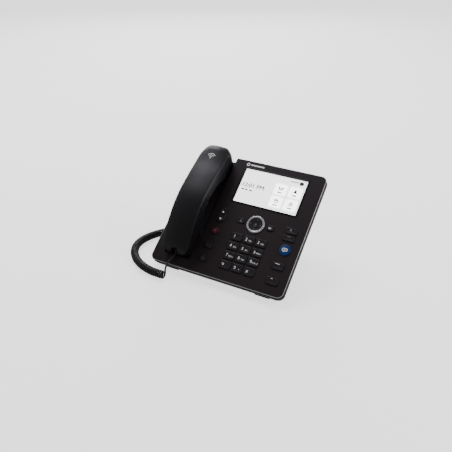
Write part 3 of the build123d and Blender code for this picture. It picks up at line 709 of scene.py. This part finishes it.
def handset():
    plan = handsetPlan
    c, half, gap, seam = plan["centre"], plan["halfWidth"], plan["seam"], plan["seamLine"]
    side = smoothThrough(plan["topLine"]) + plan["underLine"][1:-1]
    solid = cut(sideMesh(side, c - half - 3, c + half + 3), slabMesh([handsetOutline(plan)], -20, 60), "INTERSECT")
    solid = modified(solid, "REMESH", mode="VOXEL", voxel_size=plan["voxel"] * mm)
    back = faceMatrix.inverted()
    for vert in solid.vertices:
        place = back @ vert.co
        vert.co = faceMatrix @ handsetForm(plan, place, heightOn(seam, place.y))
    solid = modified(solid, "SMOOTH", iterations=plan["soften"], factor=0.5)
    above = [(v, w + gap) for v, w in seam] + [(235, 80), (5, 80)]
    below = [(v, w - gap) for v, w in seam][::-1] + [(5, -40), (235, -40)]
    upper = cut(solid.copy(), sideMesh(above, c - 40, c + 40), "INTERSECT")
    lower = cut(solid, sideMesh(below, c - 40, c + 40), "INTERSECT")
    grille = grown(holeTree(), plan["grille"])
    grille.transform(Matrix.Translation(faceMatrix @ Vector((c, *plan["grillePlace"]))) @ Matrix.Rotation(tilt, 4, "X"))
    slots = [slabMesh([roundedRing(c, plan["slotStart"] + plan["slotPitch"] * k, *plan["mouthSlot"])], -8, -1.2)
             for k in range(3)]
    socket = slabMesh([roundedRing(c, plan["socketPlace"], *plan["socket"])], 0.7, 9.7)
    bores = [slabMesh([arcPoints(c, v, plan["boreRadius"], 0, 345, 23)], 6, seat) for v, seat in plan["bores"]]
    for tool in (grille, joined(slots), socket, joined(bores)):
        lower = cut(lower, tool)
    for name, mesh, node in (("handsetTop", upper, "handset_upper_shell"),
                             ("handsetUnderside", lower, "handset_lower_shell")):
        finished(name, mesh, plastic["handset"], 38, "handset", "handset_plastic", node)
    return surfaceOf(upper)


def surfaceOf(mesh):    # height of a mesh over the face, seen from straight above it
    back = faceMatrix.inverted()
    tree = BVHTree.FromPolygons([back @ v.co for v in mesh.vertices], [tuple(f.vertices) for f in mesh.polygons])
    return lambda u, v: (tree.ray_cast(Vector((u, v, 100)), Vector((0, 0, -1)))[0] or Vector((0, 0, 0))).z


handsetTopAt = handset()
print("handset made")

keyPlan = {"proud": 1.4, "edge": 0.9, "dish": 0.35, "blueDome": -0.5, "flange": 0.7, "flangeTop": -2.8,
           "flangeBottom": -4.0, "leastRadius": 0.4, "rimSteps": 5, "rings": (0.92, 0.8, 0.62, 0.42, 0.2)}
keySizes = {    # u, v, width, length, corner radius
    "mute_key": (89.0, 77.0, 12.6, 12.6, 6.2), "headset_key": (89.0, 50.0, 15.0, 11.4, 5.6),
    "speaker_key": (89.0, 26.6, 15.0, 11.4, 5.6), "back_key": (124.2, 105.0, 13.0, 9.0, 4.0),
    "menu_key": (175.8, 105.0, 13.0, 9.0, 4.0), "contacts_key": (210.0, 109.2, 20.0, 10.6, 2.6),
    "messages_key": (210.0, 96.7, 20.0, 10.6, 2.6), "assistant_button": (211.0, 76.4, 18.6, 18.6, 9.2),
    "hold_key": (210.0, 48.0, 20.0, 12.0, 2.6), "transfer_key": (210.0, 23.0, 20.0, 12.0, 2.6)}
dialKeys = [("key_1", "1", ""), ("key_2", "2", "ABC"), ("key_3", "3", "DEF"), ("key_4", "4", "GHI"),
            ("key_5", "5", "JKL"), ("key_6", "6", "MNO"), ("key_7", "7", "PQRS"), ("key_8", "8", "TUV"),
            ("key_9", "9", "WXYZ"), ("key_star", "*", ""), ("key_0", "0", "+"), ("key_hash", "#", "")]
dialPlan = {"first": (128.6, 76.3), "pitch": (20.9, 16.7), "key": (18.6, 13.4, 2.2),    # signs: height, x, y, boldness
            "digit": (4.9, -4.0, 0.0, 0.008), "star": (7.0, -4.0, -1.7, 0.008), "letters": (2.4, 3.2, -1.1, 0.006)}
for place, (node, digit, letters) in enumerate(dialKeys):
    keySizes[node] = (dialPlan["first"][0] + place % 3 * dialPlan["pitch"][0],
                      dialPlan["first"][1] - place // 3 * dialPlan["pitch"][1], *dialPlan["key"])
volumePlan = {    # its low flange lets it tip
    "size": (89.0, 105.4, 13.0, 26.0, 6.0), "flangeTop": -3.75, "dip": 0.75, "bend": 40,
    "signs": [[(-2.1, 5.0), (2.1, 5.0), (0.0, 8.2)], [(-2.1, -5.2), (0.0, -8.4), (2.1, -5.2)]]}


def dishOf(size, depth):    # height of a key's hollow top at a distance from its middle
    halfU, halfV = size[2] / 2 - keyPlan["edge"], size[3] / 2 - keyPlan["edge"]
    return lambda x, y: keyPlan["proud"] - depth * max(0, 1 - (x / halfU) ** 2) * max(0, 1 - (y / halfV) ** 2)


def volumeTop(x, y):
    return keyPlan["proud"] - max(0.0, volumePlan["dip"] - y * y / volumePlan["bend"])


def keyMesh(size, top, flangeTop):
    u, v, width, length, radius = size
    edge, flange, least, steps = keyPlan["edge"], keyPlan["flange"], keyPlan["leastRadius"], keyPlan["rimSteps"]
    rings = []
    for level, grow in ((keyPlan["flangeBottom"], flange), (flangeTop, flange), (flangeTop, 0)):
        outline = roundedRing(u, v, width + 2 * grow, length + 2 * grow, radius + grow / 2)
        rings.append([(x, y, level) for x, y in outline])
    for step in range(steps + 1):    # rounded rim
        angle = radians(90 * step / steps)
        inset = edge * (1 - cos(angle))
        outline = roundedRing(u, v, width - 2 * inset, length - 2 * inset, max(radius - inset, least))
        rings.append([(x, y, top(x - u, y - v) - edge * (1 - sin(angle))) for x, y in outline])
    rim = [(x - u, y - v) for x, y in roundedRing(u, v, width - 2 * edge, length - 2 * edge, max(radius - edge, least))]
    for share in keyPlan["rings"]:
        rings.append([(u + x * share, v + y * share, top(x * share, y * share)) for x, y in rim])
    return loft(rings, top=(u, v, top(0, 0)))


def keyPiece(name, node, body, size, top, finish, slot, flangeTop=keyPlan["flangeTop"]):
    finished(name, keyMesh(size, top, flangeTop), finish, 40, body, slot, node)


def textMesh(words, height, x, y, bold=0.0):    # flat lettering, its middle at x and y, in millimetres
    curve = bpy.data.curves.new("words", "FONT")
    curve.body = words
    curve.size = height * 1.42
    curve.offset = bold * height
    curve.align_x, curve.align_y = "CENTER", "CENTER"
    curve.resolution_u = 3
    holder = bpy.data.objects.new("words", curve)
    scene.collection.objects.link(holder)
    mesh = evaluatedMesh(holder)
    mesh.transform(Matrix.Translation((x, y, 0)))
    return mesh


def flatMesh(outlines):    # one flat face for each outline
    mesh = bpy.data.meshes.new("flat")
    verts, faces = [], []
    for outline in outlines:
        faces.append(tuple(range(len(verts), len(verts) + len(outline))))
        verts += [(x, y, 0) for x, y in outline]
    mesh.from_pydata(verts, [], faces)
    return mesh


# A sign printed on a surface, whose height over the sign's middle is what top gives.
def printed(name, parts, body, u, v, top, finish, slot, lift=0.015, thickness=0.03):
    shape = bmesh.new()
    for part in parts:
        shape.from_mesh(part)
    for face in shape.faces:
        if face.normal.z < 0:
            face.normal_flip()
    bmesh.ops.triangulate(shape, faces=shape.faces)
    shape.normal_update()
    base = [(vert, top(vert.co.x, vert.co.y)) for vert in shape.verts]
    for vert, level in base:
        vert.co = (u + vert.co.x, v + vert.co.y, level + lift)
    made = bmesh.ops.extrude_face_region(shape, geom=shape.faces[:])
    for item in made["geom"]:
        if isinstance(item, bmesh.types.BMVert):
            item.co.z += thickness
    mesh = bpy.data.meshes.new(name)
    bmesh.ops.recalc_face_normals(shape, faces=shape.faces)
    shape.to_mesh(mesh)
    shape.free()
    mesh.transform(faceMatrix)
    finished(name, mesh, finish, 0, body, slot)


def bars(places, width, height):    # short rounded bars
    return flatMesh([roundedRing(x, y, width, height, height * 0.45, 4) for x, y in places])


def disc(x, y, radius):
    return flatMesh([arcPoints(x, y, radius, 0, 345, 23)])


def ringSign(x, y, radius, width):
    return flatMesh([stroke(arcPoints(x, y, radius, 0, 360, 28), width)])


legendDim = lit("legendDim", (0.05, 0.055, 0.05), (0.09, 0.095, 0.09), 0.0, 900.0)
# the soft grey legends are print; their faint emission is a painted glow
legendSoftPaintedGlow = lit("legendSoftPaintedGlow", (0.22, 0.22, 0.23), (0.34, 0.34, 0.35), 0.05, 900.0)
speechBubble = arcPoints(2.6, 0.4, 2.7, -90, 90, 8) + arcPoints(-2.6, 0.4, 2.7, 90, 270, 8)
speechBubble += [(-1.4, -2.3), (-2.8, -4.4), (0.6, -2.3), (2.6, -2.3)]
signs = {    # each key's sign, in millimetres from the key's middle
    "mute_key": (legendRed, [flatMesh([
        roundedRing(0, 0.9, 2.4, 4.4, 1.15, 5), stroke(arcPoints(0, 0.8, 2.5, 200, 340), 0.55),
        stroke([(0, -1.7), (0, -3.0)], 0.55), stroke([(-2.9, -2.4), (2.9, 3.4)], 0.6)])]),
    "headset_key": (legendDim, [flatMesh([
        stroke(arcPoints(0, 0, 2.6, -10, 190), 0.6), roundedRing(-2.5, -1.2, 1.3, 2.4, 0.5, 4),
        roundedRing(2.5, -1.2, 1.3, 2.4, 0.5, 4)])]),
    "speaker_key": (legendDim, [flatMesh([
        [(-3, -0.9), (-1.8, -0.9), (0, -2.4), (0, 2.4), (-1.8, 0.9), (-3, 0.9)],
        stroke(arcPoints(0, 0, 1.6, -50, 50), 0.5), stroke(arcPoints(0, 0, 2.9, -50, 50), 0.5)])]),
    "back_key": (legendSoftPaintedGlow, [flatMesh([
        stroke([(0.6, 1.9), (-1.6, 0), (0.6, -1.9)], 0.7), stroke([(-1.4, 0), (2.0, 0)], 0.6)])]),
    "menu_key": (legendWhitePaintedGlow, [bars([(-1.0, 0.6), (-1.0, -0.6)], 5.0, 0.75)]),
    "contacts_key": (legendSoftPaintedGlow, [disc(-1.4, 2.8, 1.15), flatMesh([arcPoints(-1.4, -0.1, 2.0, 0, 180)])]),
    "messages_key": (legendSoftPaintedGlow, [bars([(-0.6, 2.6)], 6.4, 0.8)]),
    "assistant_button": (legendWhitePaintedGlow, [
        flatMesh([stroke([(x * 0.8, y * 0.8) for x, y in speechBubble], 1.1)]), bars([(0, 0.3)], 3.4, 1.1)]),
    "hold_key": (legendWhitePaintedGlow, [bars([(-1.4, 3.6)], 7.6, 0.9)]),
    "transfer_key": (legendWhitePaintedGlow, [bars([(-0.6, 3.6)], 5.2, 0.9)])}

for node, size in keySizes.items():
    finish, slot, depth = plastic["key"], "key_plastic", keyPlan["dish"]
    if node == "assistant_button":
        finish, slot, depth = plastic["blue"], "blue_plastic", keyPlan["blueDome"]
    elif node == "mute_key":
        finish, slot = plastic["mute"], "mute_plastic"
    keyPiece(node + "Cap", node, node, size, dishOf(size, depth), finish, slot)
    if node in signs:
        signFinish, parts = signs[node]
        printed(node + "Sign", parts, node, size[0], size[1], dishOf(size, depth), signFinish, slot)
for node, digit, letters in dialKeys:
    size = keySizes[node]
    parts = [textMesh(digit, *dialPlan["star" if digit == "*" else "digit"])]
    if letters:
        parts.append(textMesh(letters, *dialPlan["letters"]))
    printed(node + "Digits", parts, node, *size[:2], dishOf(size, keyPlan["dish"]), legendWhitePaintedGlow, "key_plastic")
keyPiece("volumeRocker", "volume_rocker", "volume", volumePlan["size"], volumeTop, plastic["key"], "key_plastic",
         volumePlan["flangeTop"])
printed("volumeSigns", [flatMesh(volumePlan["signs"])], "volume", *volumePlan["size"][:2], volumeTop, legendWhitePaintedGlow,
        "key_plastic")
print("keys made")

navPlan = {"centre": (150.0, 104.9), "outer": 15.0, "inner": 11.7, "ok": 5.2, "lip": 1.0, "gap": 0.6, "play": 0.04,
           "flange": 1.0, "segments": 96, "arrow": ((-1.0, 7.9), (1.0, 7.9), (0.0, 9.3)), "okRing": (1.5, 0.5)}


def navigation():
    c, outer, inner, ok, lip = (navPlan[key] for key in ("centre", "outer", "inner", "ok", "lip"))
    hole, edge, foot = ok + navPlan["gap"], inner - navPlan["play"], navPlan["flange"]
    rimIn = [(outer - lip + lip * sin(radians(a)), 0.8 + lip * cos(radians(a))) for a in range(0, 91, 15)]
    ring = [(inner, -0.6), (inner, 1.3), (inner + 0.15, 1.6), (inner + 0.5, 1.8), *rimIn, (outer, -0.6), (inner, -0.6)]
    hollow = [(hole + (edge - hole) * k / 8, 0.75 + 0.35 * (k / 8) ** 2) for k in range(9)]
    pad = [(hole, -4.4), (hole, 0.4), *hollow, (edge, -0.62), (outer, -0.62), (outer, -3.7), (outer + foot, -3.7),
           (outer + foot, -4.4), (hole, -4.4)]
    dome = [(0.0, 1.05)] + [(ok * k / 8, 1.05 + 0.4 * (k / 8) ** 2) for k in range(1, 8)] + [
        (ok - 0.1, 1.42), (ok, 1.2), (ok, -4.8), (ok + foot, -4.8), (ok + foot, -5.2), (0.0, -5.2)]
    for name, node, body, profile, finish, slot in (
            ("navRing", "nav_ring", "nav_pad", ring, ringMetal, "ring_metal"),
            ("navPad", "nav_rocker", "nav_pad", pad, plastic["key"], "key_plastic"),
            ("okButton", "ok_button", "ok", dome, plastic["key"], "key_plastic")):
        finished(name, lathe(profile, c, navPlan["segments"]), finish, 30, body, slot, node)
    arrows = []
    for quarter in range(4):
        turn = Matrix.Rotation(radians(90 * quarter), 2)
        arrows.append([tuple(turn @ Vector(p)) for p in navPlan["arrow"]])
    printed("navArrows", [flatMesh(arrows)], "nav_pad", *c, lambda x, y: 1.0, legendSoftPaintedGlow, "key_plastic")
    mark = [ringSign(0, 0, *navPlan["okRing"]), disc(0, 0, 0.5)]
    printed("okSign", mark, "ok", *c, lambda x, y: 1.14, legendSoftPaintedGlow, "key_plastic")


navigation()
print("navigation made")

displayPlan = {"centre": (150.8, 168.4), "lit": (110.2, 63.4), "glass": (117.0, 70.4), "corner": 2.9, "glassTop": -0.05,
               "glassBottom": -0.95, "borderBottom": -1.5, "picture": -1.56, "play": 0.04,
               "tileU": (166.2, 191.3), "tileV": (176.0, 152.6), "tile": (21.6, 20.4, 2.6), "label": (-5.8, 8.0, 1.9),
               "clock": (118.4, 170.4), "clockHeight": 7.6, "clockShift": 0.25,    # drawn twice, for bolder lines
               "date": [(103.4, 161.8), (109.6, 161.8), (117.4, 161.8)],
               "status": (184.0, 194.6), "badge": (196.4, 194.0)}


def tileSigns(tiles):    # a handset, a board, a person and a clock
    (a, b), (c, d), (e, f), (g, h) = [(x, y + 1.6) for x, y in tiles]
    board = [(c - 2.8, d + 2.4), (c + 2.8, d + 2.4), (c + 2.8, d - 2.4), (c - 2.8, d - 2.4), (c - 2.8, d + 2.8)]
    return [flatMesh([stroke(arcPoints(a, b + 1, 2.9, 200, 340), 1.9)]),
            disc(a - 2.7, b + 1.2, 1.6), disc(a + 2.7, b + 1.2, 1.6),
            flatMesh([stroke(board, 1.5)]), bars([(c, d + 1.2)], 4.4, 1.5),
            disc(e, f + 1.8, 1.9), flatMesh([arcPoints(e, f - 2.6, 3.2, 0, 180)]),
            ringSign(g, h, 2.6, 1.5), flatMesh([stroke([(g, h + 1.6), (g, h), (g + 1.6, h)], 1.2)])]


def display():
    plan = displayPlan
    u, v = plan["centre"]
    (litU, litV), (glassU, glassV), top, low = plan["lit"], plan["glass"], plan["glassTop"], plan["borderBottom"]
    window = [[(x, y, w) for x, y in roundedRing(u, v, litU, litV, 0.6)] for w in (plan["glassBottom"], top - 0.01)]
    finished("displayGlass", loft(window), lensGlass(), 40, "base", "lens_glass")
    rings = [(roundedRing(u, v, glassU - 2 * side, glassV - 2 * side, plan["corner"] - side), w)
             for side, w in ((0, low), (0, top - 0.35), (0.1, top - 0.1), (0.35, top))]
    rings += [(roundedRing(u, v, litU + plan["play"], litV + plan["play"], 0.62), w) for w in (top, low)]
    count, faces = len(rings[0][0]), []
    for k in range(len(rings)):
        faces += band(k * count, (k + 1) % len(rings) * count, count)
    verts = [(x, y, w) for ring, w in rings for x, y in ring]
    finished("displayBorder", meshFrom(verts, faces), lensBorder, 30, "base", "lens_glass", "display_lens")

    def shown(name, parts, finish, lift, thickness=0.02):    # one layer of the picture
        printed(name, parts, "base", u, v, lambda x, y: plan["picture"], finish, "display_panel", lift, thickness)

    tiles = [(x - u, y - v) for x in plan["tileU"] for y in plan["tileV"]]
    shown("screenBackground", [flatMesh([roundedRing(0, 0, litU, litV, 0.5, 3)])], screenWhite, 0, 0.03)
    shown("screenTiles", [flatMesh([roundedRing(x, y, *plan["tile"]) for x, y in tiles])], screenTile, 0.05)
    clockU, clockV = plan["clock"]
    ink = [textMesh("12:01 PM", plan["clockHeight"], clockU - u + shift, clockV - v)
           for shift in (-plan["clockShift"], plan["clockShift"])]
    ink += [bars([(plan["badge"][0] - u, plan["badge"][1] - v)], 7.4, 6.6), *tileSigns(tiles)]
    shown("screenSigns", ink, screenInk, 0.09)
    drop, *label = plan["label"]
    grey = [bars([(x - u, y - v) for x, y in plan["date"]], 5.4, 2.2),
            bars([(plan["status"][0] - u, plan["status"][1] - v)], 15.0, 1.5)]
    shown("screenLabels", grey + [bars([(x, y + drop)], *label) for x, y in tiles], screenGrey, 0.09)


display()
print("display made")

# The bright cut edge round the face follows the cradle's floor, which sinks towards the ear end.
rimPlan = {"corners": [((0, 0), 10), ((234, 0), 10), ((234, 215), 10), ((72, 215), 2), ((72, 209), 2), ((0, 209), 10)],
           "rampStart": 25.0, "rampEnd": 209.0, "rampDrop": 7.0, "cradle": 72.0,
           "profile": [(0.85, 0.04), (0.4, 0.04), (0.1, -0.08), (-0.05, -0.35), (-0.05, -0.7), (0.1, -0.8),
                       (0.85, -0.06)]}


def roundedPath(corners, steps=10):    # closed path of straight runs and round corners
    path = []
    for k, (corner, radius) in enumerate(corners):
        before, after = Vector(corners[k - 1][0]), Vector(corners[(k + 1) % len(corners)][0])
        spot = Vector(corner)
        a, b = (before - spot).normalized(), (after - spot).normalized()
        centre = spot + (a + b) * radius
        for step in range(steps + 1):
            t = radians(90 * step / steps)
            path.append(centre - b * radius * cos(t) - a * radius * sin(t))
    return path


def faceRim():
    path, profile, start = roundedPath(rimPlan["corners"]), rimPlan["profile"], rimPlan["rampStart"]
    full = []
    for p, q in zip(path, path[1:] + path[:1]):    # a point where the cradle's floor starts to sink
        full.append(p)
        if (p.y - start) * (q.y - start) < 0 and p.x < 1 and q.x < 1:
            full.append(Vector((0.0, start)))
    slope = rimPlan["rampDrop"] / (rimPlan["rampEnd"] - start)
    verts, faces = [], []
    count, size = len(full), len(profile)
    for k, p in enumerate(full):
        along = (full[(k + 1) % count] - full[k - 1]).normalized()
        inward = Vector((-along.y, along.x))
        sunk = slope * max(p.y - start, 0) if p.x < rimPlan["cradle"] - 0.01 else 0.0
        for inset, w in profile:
            spot = p + inward * inset
            verts.append((spot.x, spot.y, w - sunk))
    for k in range(count):
        a, b = k * size, (k + 1) % count * size
        faces += [(a + i, b + i, b + (i + 1) % size, a + (i + 1) % size) for i in range(size)]
    finished("faceRim", meshFrom(verts, faces), trimMetal, 40, "base", "edge_metal")


faceRim()

contactPlan = [    # count, start, step and bar, in millimetres over the desk
    {"Count": 8, "Start": (66.43, 167.5, 80.35), "Step": (1.02, 0, 0), "Bar": (0.42, 9.0, 0.4)},
    {"Count": 8, "Start": (88.43, 167.5, 80.35), "Step": (1.02, 0, 0), "Bar": (0.42, 9.0, 0.4)},
    {"Count": 4, "Start": (33.6, 156.1, 77.6), "Step": (0, 1.27, 0), "Bar": (8.0, 0.45, 0.4)}]
screwPlan = {"seat": -12.0, "places": [(13, 13), (221, 13), (221, 202), (80, 206)], "boardTop": 68.4,
             "boardPlaces": [(54, 148), (186, 138)], "core": 1.2, "crest": 1.46, "pitch": 0.35, "threads": 20,
             "head": [(0.0, -2.0), (1.6, -1.95), (2.5, -1.5), (2.8, -0.8), (2.8, -0.02), (1.46, -0.02)],
             "tip": [(0.6, 7.5), (0.0, 7.5)], "cross": [(3.2, 0.7), (0.7, 3.2)], "crossDepth": -1.1}


def contacts():
    tree = rowTree()
    mesh = joined([grown(tree, {**plan, "Material": goldContact}) for plan in contactPlan])
    mesh.transform(deskMatrix)
    finished("socketContacts", mesh, goldContact, 0, "base", "steel")


def screws():
    plan, inMetres = screwPlan, Matrix.Scale(mm, 4)
    thread = [(plan["crest"] if k % 2 else plan["core"], 0.3 + plan["pitch"] * k) for k in range(plan["threads"])]
    body = lathe(plan["head"] + thread + plan["tip"], (0, 0), 24, inMetres)
    slot = [slabMesh([roundedRing(0, 0, w, l, 0.3, 2)], -3, plan["crossDepth"], inMetres) for w, l in plan["cross"]]
    for tool in slot:
        body = cut(body, tool)
    model = bpy.data.objects.new("screwModel", body)
    normal = (faceMatrix.to_3x3() @ Vector((0, 0, 1))).normalized()
    spots = [(faceMatrix @ Vector((u, v, plan["seat"])), normal) for u, v in plan["places"]]
    down = Vector((0, 0, -1))
    spots += [(deskMatrix @ Vector((u, y, plan["boardTop"])), down) for u, y in plan["boardPlaces"]]
    seed = bpy.data.meshes.new("screwSpots")
    seed.from_pydata([spot for spot, _ in spots], [], [])
    facing = seed.attributes.new("facing", "FLOAT_VECTOR", "POINT")
    for item, (_, direction) in zip(facing.data, spots):
        item.vector = direction
    mesh = grown(screwTree(), {"Screw": model, "Material": zincSteel}, seed)
    bpy.data.objects.remove(model)
    finished("caseScrews", mesh, zincSteel, 30, "base", "steel", "screws")


contacts()
screws()
print("rim, contacts and screws made")

markPlan = {"bezel": (96.0, 207.4), "handset": (42.5, 190.5), "waves": (3.2, 6.0, 8.8), "waveFoot": -4.5}
foot, (markU, markV) = markPlan["waveFoot"], markPlan["handset"]
waves = [flatMesh([stroke(arcPoints(0, foot, r, 40, 140), 0.9)]) for r in markPlan["waves"]] + [disc(0, foot, 1.0)]
bezel = [ringSign(0, 0, 2.3, 1.6), bars([(17.0, 0)], 25.0, 2.6)]
printed("bezelMark", bezel, "base", *markPlan["bezel"], lambda x, y: 0.0, legendWhitePaintedGlow, "cover_plastic")
printed("handsetMark", waves, "handset", markU, markV, lambda x, y: handsetTopAt(markU + x, markV + y), legendWhitePaintedGlow,
        "handset_plastic")
print("marks made")
